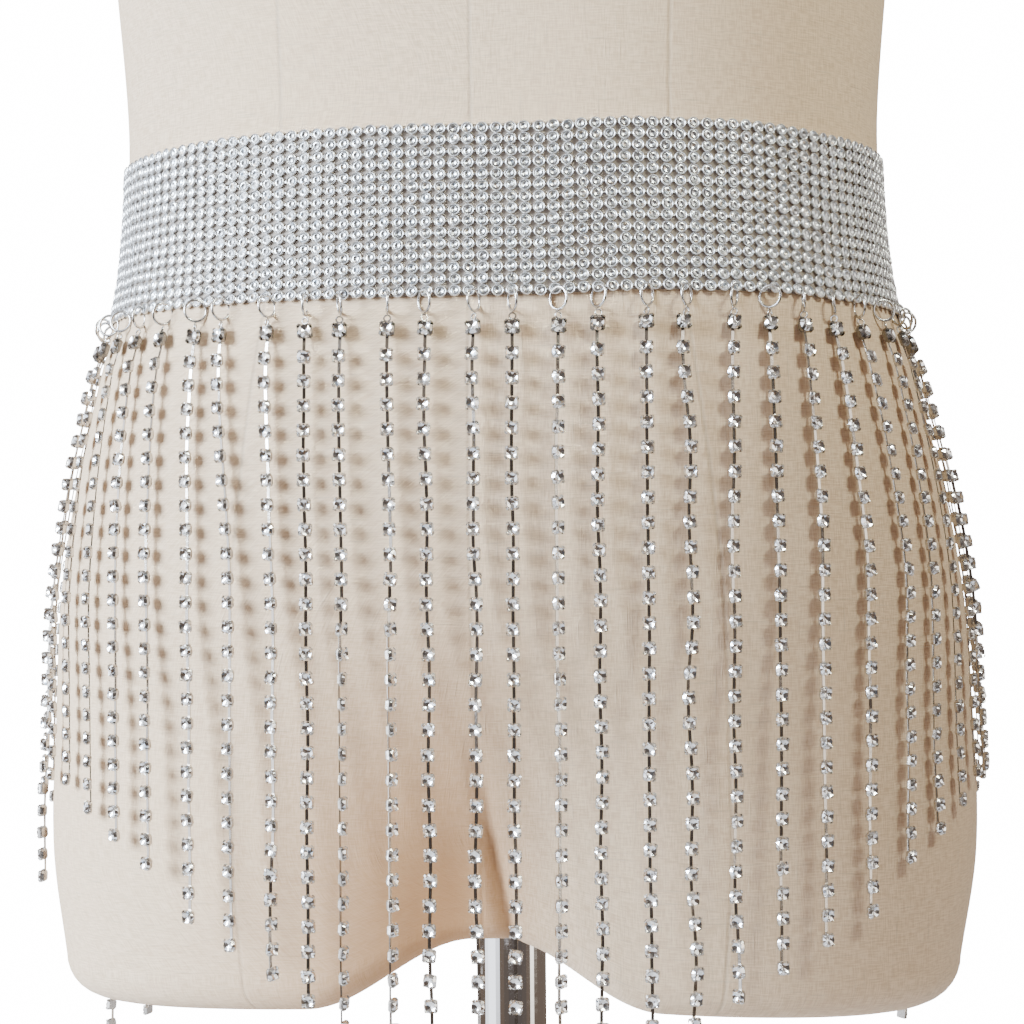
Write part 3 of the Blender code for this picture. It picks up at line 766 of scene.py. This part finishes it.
def make_band(metal, glass, gap_shade):
    """The sheet of painted shade, the other pieces of the band, and the band's length along its middle."""
    draw = np.random.default_rng(BAND_SEED)
    rows = band_rows()
    cups, bridges = [], []
    for row in rows:
        places = list(zip(*row))
        for column, (point, along, up, out) in enumerate(places):
            yaw, pitch = draw.normal(0, CUP_TILT, 2)
            jog = draw.normal(0, CUP_JOG, 2)
            spot = point + along * jog[0] + up * jog[1]
            cups.append(turned_frame(spot, along, up, out, yaw, pitch))
            if column < COLUMNS - 1:
                bridges.append((point, along, up, out))
    half = len(cups) // 2
    stones = [small_stone_pattern(turn) for turn in STONE_TURNS]
    picks = [stones[k] for k in draw.integers(0, len(stones), len(cups))]
    made = [
        repeat("belt_cups_upper", cup_pattern(), cups[:half], metal, ROUND_EDGE),
        repeat("belt_cups_lower", cup_pattern(), cups[half:], metal, ROUND_EDGE),
        repeat("belt_stones", picks, cups, glass),
        repeat("belt_bridges", bridge_pattern(), bridges, metal),
    ]
    # a sheet of painted shade behind the cups, for the shaded gaps between them
    shade_sheet = make_shade_sheet(rows, gap_shade)
    for piece in made + [shade_sheet]:
        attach(piece, "root")
    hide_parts("belt_band")
    _, length = ring_turns((BAND_TOP + BAND_BOTTOM) / 2, BAND_CLEAR, [0.0])
    return shade_sheet, made, length * (1 - 2 * CLASP_SHARE)


# The fringe

TWISTS = (
    # strand, first_cell, last_cell, degrees: where a strand turns round on itself
    (-4, 10, 35, 84),
    (-3, 9, 30, 78),
    (-6, 20, 28, 70),
    (-8, 0, 1, 80),
    (1, 0, 30, 35),
    (5, 22, 30, -60),
    (-14, 6, 20, 65),
    (13, 3, 16, -70),
    (20, 8, 30, 80),
    (-22, 12, 35, -75),
)
STRAND_SHIFTS = {
    # strand: how far it hangs aside from its even place, at its root and lower down
    -8: (0.0016, 0.0026),
    -7: (-0.0016, 0.0034),
    -6: (0.0022, 0.0043),
    -5: (0.0019, 0.0026),
    -4: (-0.0003, 0.0006),
    -3: (0.0016, 0.0027),
    -2: (-0.0003, 0.0007),
    -1: (0.0016, 0.0017),
    1: (0.0006, 0.0006),
    2: (-0.0006, -0.0004),
    3: (0.0010, 0.0011),
    4: (0.0, 0.0010),
    5: (0.0022, 0.0014),
    6: (0.0010, 0.0016),
    8: (-0.0013, 0.0),
    9: (-0.0022, 0.0014),
}
TWIST_IN = 4  # cells over which a twist grows, and over which it fades
TWIST_OUT = 3
LINE_STEP = 0.002  # in height, from point to point of a strand's middle line
LINE_FOOT = -0.36
CLEAR_FADE = 0.014  # height over which a strand leaves the strip's clearance for its own
RING_DROP = 0.0011  # from the band's lower edge to the middle of a jump ring, a hook and a first cup
HOOK_DROP = 0.0064
END_CUP_DROP = 0.0099
FIRST_STEP = 0.0085  # from a strand's first cup to its second
RING_RADIUS = 0.0035
RING_WIRE = 0.00048
RING_OUT = 0.0004
RING_YAW = (0.75, 1.40)  # least and most turn of a jump ring from the band's face, to either side
RING_PITCH = (0.12, 0.1)  # mean and spread
HOOK_RADIUS = 0.00105
HOOK_WIRE = 0.0003
HOOK_TURN = 1.3  # of a hook from its jump ring
CUP_SIZE = 0.0043
CUP_DEPTH = 0.0024
CLAW_HALF = 0.00038
STONE_RADIUS = 0.00226
END_CUP_SIZE = 0.0049
END_DEPTH = 0.0028
END_CLAW_HALF = 0.00058
END_STONE_RADIUS = 0.00242
STONE_SIDES = 8
GIRDLE_SHARE = 0.62  # of a cup's depth, where its stone's edge sits
END_TABLE_SHARE = 1.02
LINK_HALF = (0.00052, (CELL_PITCH - 0.0030) / 2, 0.00016)
LINK_SINK = 0.42  # of a cup's depth, from the cup's middle back to the link
CLAW_BENDS = (
    # radius as a share of the cup's width, out as a share of its depth, half width as a share of the claw's
    (0.60, 0.30, 1.00),
    (0.62, 0.72, 0.95),
    (0.47, 1.02, 0.60),
    (0.40, 0.92, 0.50),
)
SWAY_WIDTH = 0.00025  # spread of a strand's own waver to each side
LEAN = math.radians(7)  # spread of a whole strand's turn about itself
YAW_SWELL = math.radians(6)  # slow swell of that turn down the strand
YAW_SPREAD = math.radians(5)  # spread of it from cup to cup, and of a cup's other two tilts
TILT_SPREAD = math.radians(4)
RING_SEGMENTS = (22, 7)  # round a ring, and round its wire
HOOK_SEGMENTS = (14, 6)


def strand_cells(number):
    step = abs(number)
    if step <= SIDE_STRAND:
        return FRONT_CELLS - CELLS_LESS * step
    if step >= MIDDLE_STRAND:
        return MIDDLE_CELLS
    return SIDE_CELLS.get(number, SIDE_CELLS.get(step, BACK_CELLS))


def strand_line(number):
    """Points down the middle of a strand, LINE_STEP apart in height, with its level directions."""
    way = number * (1 - 2 * CLASP_SHARE) / STRANDS
    share = spread_share(way, ring_turns(BAND_BOTTOM, BAND_CLEAR, [0.0])[1])
    shares = [share - ROOT_STEP, share, share + ROOT_STEP]
    near = STRIP_CLEAR + STRAND_DEPTH / 2
    before, root, after = band_points(0, GAP + STRIP_HEIGHT, near, shares)
    along = (after - before)[:2] / np.linalg.norm((after - before)[:2])
    outward = np.array([along[1], -along[0]])
    side = min(abs(number), STRANDS / 2 - abs(number))
    push = outward * (smooth((side - PUSH_FROM) / (PUSH_TO - PUSH_FROM)), 1.0)
    push /= np.linalg.norm(push)
    swing = SWAY * smooth((number - SWAY_FROM) / (SWAY_FULL - SWAY_FROM))
    swing *= smooth((SWAY_TO - number) / (SWAY_TO - SWAY_FADE))
    top = root[2] - WAIST_Z
    line = [root + (0, 0, GAP + STRIP_HEIGHT), root]
    reach = 0.0
    height = top - LINE_STEP
    while height > LINE_FOOT:
        start = root[:2] + (swing * smooth((BAND_BOTTOM - height) / SWAY_DEPTH), 0.0)
        out = near + (STRAND_CLEAR - STRIP_CLEAR) * smooth((top - height) / CLEAR_FADE)
        reach = max(reach, reach_along(start, push, height, out))
        place = start + push * reach
        line.append((place[0], place[1], WAIST_Z + height))
        height -= LINE_STEP
    line = np.array(line)
    high, low = STRAND_SHIFTS.get(number, (0.0, 0.0))
    grown = smooth((root[2] - line[:, 2]) / SWAY_DEPTH)
    line[:, :2] += along * (high + (low - high) * grown)[:, None]
    return line, np.append(along, 0.0), np.append(outward, 0.0)


def twist_at(number, cell):
    """How far a strand is turned about itself at a cell, in radians."""
    for strand, first, last, degrees in TWISTS:
        if strand == number and cell >= first:
            grown = min((cell - first) / TWIST_IN, 1.0)
            faded = 1.0
            if last < strand_cells(number) - 1:
                faded = min(max((last - cell) / TWIST_OUT, 0.0), 1.0)
            return math.radians(degrees) * grown * faded
    return 0.0


def brilliant(radius, girdle, table, turn):
    """A round cut stone: crown facets round its edge, and a sunken middle that shows its lit far side."""
    shape = Pattern()
    sides = STONE_SIDES
    step = math.tau / sides
    edge = shape.ring(radius, girdle, 2 * sides, turn)
    crown = shape.ring(radius * 0.74, table, sides, turn)
    inner = shape.ring(radius * 0.40, table - radius * 0.17, sides, turn + step / 2)
    middle = shape.ring(0.0, table - radius * 0.30, 1)[0]
    for i in range(sides):
        j = (i + 1) % sides
        shape.faces.append((edge[2 * i], edge[2 * i + 1], crown[i]))
        shape.faces.append((edge[2 * i + 1], crown[j], crown[i]))
        shape.faces.append((edge[2 * i + 1], edge[2 * j], crown[j]))
        shape.faces.append((crown[i], crown[j], inner[i]))
        shape.faces.append((crown[j], inner[j], inner[i]))
        shape.faces.append((inner[i], inner[j], middle))
    return shape


def claw_cup(width, depth, claw):
    """A square cup with a claw at each corner, its back at out 0."""
    shape = Pattern()
    low, high = width * 0.40, width * 0.50
    rims = (
        # half width, out
        (low, 0.0),
        (high, depth * 0.45),
        (high * 0.97, depth * 0.62),
        (high * 0.86, depth * 0.60),
    )
    levels = []
    for half, out in rims:
        start = len(shape.points)
        edge = half - half * 0.35
        sides = ((-half, -edge), (-edge, -half), (edge, -half), (half, -edge))
        shape.points += [(a, u, out) for a, u in sides]
        shape.points += [(-a, -u, out) for a, u in sides]
        levels.append(list(range(start, start + 8)))
    for lower, upper in zip(levels, levels[1:]):
        shape.band(lower, upper)
    shape.faces.append(tuple(reversed(levels[0])))
    for quarter in range(4):
        angle = math.pi / 4 + quarter * math.pi / 2
        outward = np.array([math.cos(angle), math.sin(angle)])
        side = np.array([-outward[1], outward[0]])
        start = len(shape.points)
        for radius, out, half in CLAW_BENDS:
            for way in (-1, 1):
                spot = outward * (width * radius) + side * (claw * half) * way
                shape.points.append((spot[0], spot[1], depth * out))
        for k in range(len(CLAW_BENDS) - 1):
            a = start + 2 * k
            shape.faces.append((a, a + 1, a + 3, a + 2))
        for way in (0, 1):
            ring = [start + way, start + 2 + way, start + 4 + way, start + 6 + way]
            shape.faces.append(tuple(ring if way == 0 else reversed(ring)))
    return shape


def torus_pattern(radius, wire, around, sides):
    """A wire ring in the plane of along and up."""
    shape = Pattern()
    for i in range(around):
        a = math.tau * i / around
        for k in range(sides):
            b = math.tau * k / sides
            reach = radius + wire * math.cos(b)
            shape.points.append((reach * math.cos(a), reach * math.sin(a), wire * math.sin(b)))
    for i in range(around):
        for k in range(sides):
            j, m = (i + 1) % around, (k + 1) % sides
            shape.faces.append((i * sides + k, j * sides + k, j * sides + m, i * sides + m))
    return shape


def along_line(line, ways, targets):
    """Points at targets along a line whose own points lie at ways along it."""
    return np.column_stack([np.interp(targets, ways, line[:, k]) for k in range(3)])


def make_fringe(metal, dark_metal, link_metal, glass, wire_metal):
    """The strands of claw cups, stones and links, with the jump rings and hooks that they hang from."""
    draw = np.random.default_rng(FRINGE_SEED)
    cups, ends, links, rings, hooks = [], [], [], [], []
    for number in range(-(STRANDS // 2), STRANDS // 2 + 1):
        line, along, outward = strand_line(number)
        ways = np.concatenate([[0.0], np.cumsum(np.linalg.norm(np.diff(line, axis=0), axis=1))])
        length = GAP + STRIP_HEIGHT + strand_cells(number) * CELL_PITCH
        steps = [END_CUP_DROP, END_CUP_DROP + FIRST_STEP]
        while steps[-1] + CELL_PITCH < length:
            steps.append(steps[-1] + CELL_PITCH)
        steps = np.array(steps)
        centres = along_line(line, ways, steps)
        ups = unit(along_line(line, ways, steps - 0.001) - along_line(line, ways, steps + 0.001))
        sway = draw.normal(0, SWAY_WIDTH, 2)
        phase = draw.uniform(0, math.tau)
        lean = draw.normal(0, LEAN)
        frames = []
        for k in range(len(steps)):
            out = np.cross(along, ups[k])
            out /= np.linalg.norm(out)
            swing = sway[0] * math.sin(phase + k * 0.35) + sway[1] * math.sin(phase * 2 + k * 0.9)
            yaw = twist_at(number, k) + lean + YAW_SWELL * math.sin(phase + k * 0.5)
            yaw += draw.normal(0, YAW_SPREAD)
            pitch, roll = draw.normal(0, TILT_SPREAD, 2)
            depth = END_DEPTH if k == 0 else CUP_DEPTH
            frames.append((centres[k] + along * swing, along, ups[k], out, yaw, pitch, roll, depth))
        for k, (point, a, u, o, yaw, pitch, roll, depth) in enumerate(frames):
            turned = turned_frame(point, a, u, o, yaw, pitch, roll)
            seated = (turned[0] - turned[3] * depth / 2, *turned[1:])
            (ends if k == 0 else cups).append(seated)
        for (p, a, u, o, yaw, *_), (q, *rest) in zip(frames, frames[1:]):
            middle_yaw = (yaw + rest[3]) / 2
            lift = (p - q) / np.linalg.norm(p - q)
            bar = turned_frame((p + q) / 2, a, lift, np.cross(a, lift), middle_yaw)
            links.append((bar[0] - bar[3] * CUP_DEPTH * LINK_SINK, *bar[1:]))
        hang = along_line(line, ways, np.array([RING_DROP, HOOK_DROP]))
        root_out = np.cross(along, ups[0])
        yaw = draw.uniform(*RING_YAW) * draw.choice([-1, 1])
        pitch = draw.normal(*RING_PITCH)
        rings.append(turned_frame(hang[0] + outward * RING_OUT, along, ups[0], root_out, yaw, pitch))
        hooks.append(turned_frame(hang[1], along, ups[0], root_out, yaw + HOOK_TURN))
    link = Pattern()
    link.box(tuple(-half for half in LINK_HALF), LINK_HALF)
    stones, end_stones = [], []
    for turn in STONE_TURNS:
        stones.append(brilliant(STONE_RADIUS, CUP_DEPTH * GIRDLE_SHARE, CUP_DEPTH, turn))
        table = END_DEPTH * END_TABLE_SHARE
        end_stones.append(brilliant(END_STONE_RADIUS, END_DEPTH * GIRDLE_SHARE, table, turn))
    picks = [stones[k] for k in draw.integers(0, len(stones), len(cups))]
    end_picks = [end_stones[k] for k in draw.integers(0, len(end_stones), len(ends))]
    cup = claw_cup(CUP_SIZE, CUP_DEPTH, CLAW_HALF)
    end_cup = claw_cup(END_CUP_SIZE, END_DEPTH, END_CLAW_HALF)
    ring = torus_pattern(RING_RADIUS, RING_WIRE, *RING_SEGMENTS)
    hook = torus_pattern(HOOK_RADIUS, HOOK_WIRE, *HOOK_SEGMENTS)
    made = [
        repeat("chain_cups", cup, cups, metal, CUT_EDGE),
        repeat("chain_stones", picks, cups, glass),
        repeat("end_cups", end_cup, ends, dark_metal, CUT_EDGE),
        repeat("end_stones", end_picks, ends, glass),
        repeat("chain_links", link, links, link_metal),
        repeat("jump_rings", ring, rings, wire_metal, ROUND_EDGE),
        repeat("end_hooks", hook, hooks, wire_metal, ROUND_EDGE),
    ]
    for piece in made:
        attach(piece, "root")
    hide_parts("fringe")
    return made


# The stage

def lamp(name, place, size, power, colour, aim=(0.0, 0.0, EYE_Z), spread=math.pi):
    """A soft rectangular lamp that faces its aim."""
    light = bpy.data.lights.new(name, "AREA")
    light.shape = "RECTANGLE"
    light.size, light.size_y = size
    light.energy = power
    light.spread = spread
    light.color = colour
    made = bpy.data.objects.new(name, light)
    made.location = place
    made.rotation_euler = (Vector(aim) - Vector(place)).to_track_quat("-Z", "Y").to_euler()
    bpy.context.scene.collection.objects.link(made)
    return made


def make_world():
    """A white backdrop, and a room for the plating to mirror: a bright window on the left, two small ones
    on the right, a pale ceiling and a dim corner in front. Cloth gets a warm soft light from above."""
    world = bpy.data.worlds.new("studio")
    world.use_nodes = True
    bpy.context.scene.world = world
    tree = world.node_tree
    tree.nodes.clear()

    def node(kind, **settings):
        made = tree.nodes.new(kind)
        for key, value in settings.items():
            setattr(made, key, value)
        return made

    way = node("ShaderNodeTexCoord").outputs["Generated"]

    def lobe(direction, low, high):
        dot = node("ShaderNodeVectorMath", operation="DOT_PRODUCT")
        tree.links.new(way, dot.inputs[0])
        dot.inputs[1].default_value = Vector(direction).normalized()
        span = node("ShaderNodeMapRange")
        tree.links.new(dot.outputs["Value"], span.inputs[0])
        span.inputs[1].default_value = low
        span.inputs[2].default_value = high
        return span.outputs[0]

    def blend(share, first, second):
        made = node("ShaderNodeMix", data_type="RGBA")
        tree.links.new(share, made.inputs[0])
        for key, value in ((6, first), (7, second)):
            if isinstance(value, bpy.types.NodeSocket):
                tree.links.new(value, made.inputs[key])
            else:
                made.inputs[key].default_value = (*value, 1)
        return made.outputs[2]

    room = blend(lobe((0, 0, 1), -0.3, 0.8), ROOM_LOW, ROOM_HIGH)
    for towards, edge, core, colour in ROOM_LIGHTS:
        room = blend(lobe(towards, edge, core), room, colour)
    ray = node("ShaderNodeLightPath")
    soft = blend(lobe((0, 0, 1), -0.5, 0.9), AMBIENT_LOW, AMBIENT_HIGH)
    room = blend(ray.outputs["Is Diffuse Ray"], room, soft)
    room = blend(ray.outputs["Is Camera Ray"], room, BACKDROP)
    back = node("ShaderNodeBackground")
    tree.links.new(room, back.inputs["Color"])
    back.inputs["Strength"].default_value = 1.0
    out = node("ShaderNodeOutputWorld")
    tree.links.new(back.outputs[0], out.inputs["Surface"])


def make_floor():
    """A round pale floor, which ends below the photograph's frame."""
    bpy.ops.mesh.primitive_circle_add(vertices=96, radius=FLOOR_RADIUS, fill_type="NGON")
    floor = bpy.context.object
    floor.name = "floor"
    floor.data.materials.append(floor_finish())


def make_camera():
    """The photograph's view: level, a little from +X, rolled a little, with the frame shifted on the form."""
    data = bpy.data.cameras.new("camera")
    data.sensor_width = 36.0
    data.lens = FOCAL_PX / FRAME_PX * data.sensor_width
    data.shift_x = (FRAME_PX / 2 - AXIS_PX) / FRAME_PX
    camera = bpy.data.objects.new("camera", data)
    place = Vector((EYE_WAY * math.sin(EYE_TURN), -EYE_WAY * math.cos(EYE_TURN), EYE_Z))
    look = Vector((-math.sin(EYE_TURN), math.cos(EYE_TURN), 0.0))
    level = look.to_track_quat("-Z", "Y").to_matrix().to_4x4()
    camera.matrix_world = Matrix.Translation(place) @ level @ Matrix.Rotation(-EYE_ROLL, 4, "Z")
    bpy.context.scene.collection.objects.link(camera)
    bpy.context.scene.camera = camera


make_camera()
make_world()
make_floor()
lamp("key", KEY_PLACE, KEY_SIZE, KEY_POWER, KEY_COLOUR)
lamp("fill", FILL_PLACE, FILL_SIZE, FILL_POWER, FILL_COLOUR, FILL_AIM, FILL_SPREAD)

silver = plated("bright_ring_plating", (0.84, 0.845, 0.86), 0.36)
claw_metal = plated("bright_claw_plating", (0.62, 0.59, 0.56), 0.24)
dark_metal = plated("dark_prong_plating", (0.24, 0.22, 0.20), 0.25)
link_metal = plated("link_plating", (0.50, 0.46, 0.42), 0.16)
wire = plated("ring_wire", (0.62, 0.60, 0.58), 0.20)
mesh_glass = crystal("mesh_stones_glass", 0.30, (0.76, 0.78, 0.80), (0.42, 0.43, 0.45))
chain_glass = crystal("chain_stones_glass", 0.11, (1.0, 1.0, 1.0), (0.66, 0.66, 0.67))
polished = chrome()

cover = make_cover()
shade_sheet, band_pieces, band_length = make_band(silver, mesh_glass, gap_shade_finish())
fringe_pieces = make_fringe(claw_metal, dark_metal, link_metal, chain_glass, wire)
for name, finish in (
    ("form_pole", polished),
    ("form_base", polished),
    ("clasp_tube", claw_metal),
    ("clasp_bar", claw_metal),
):
    node_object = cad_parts[name]
    node_object.data.materials.clear()
    node_object.data.materials.append(finish)
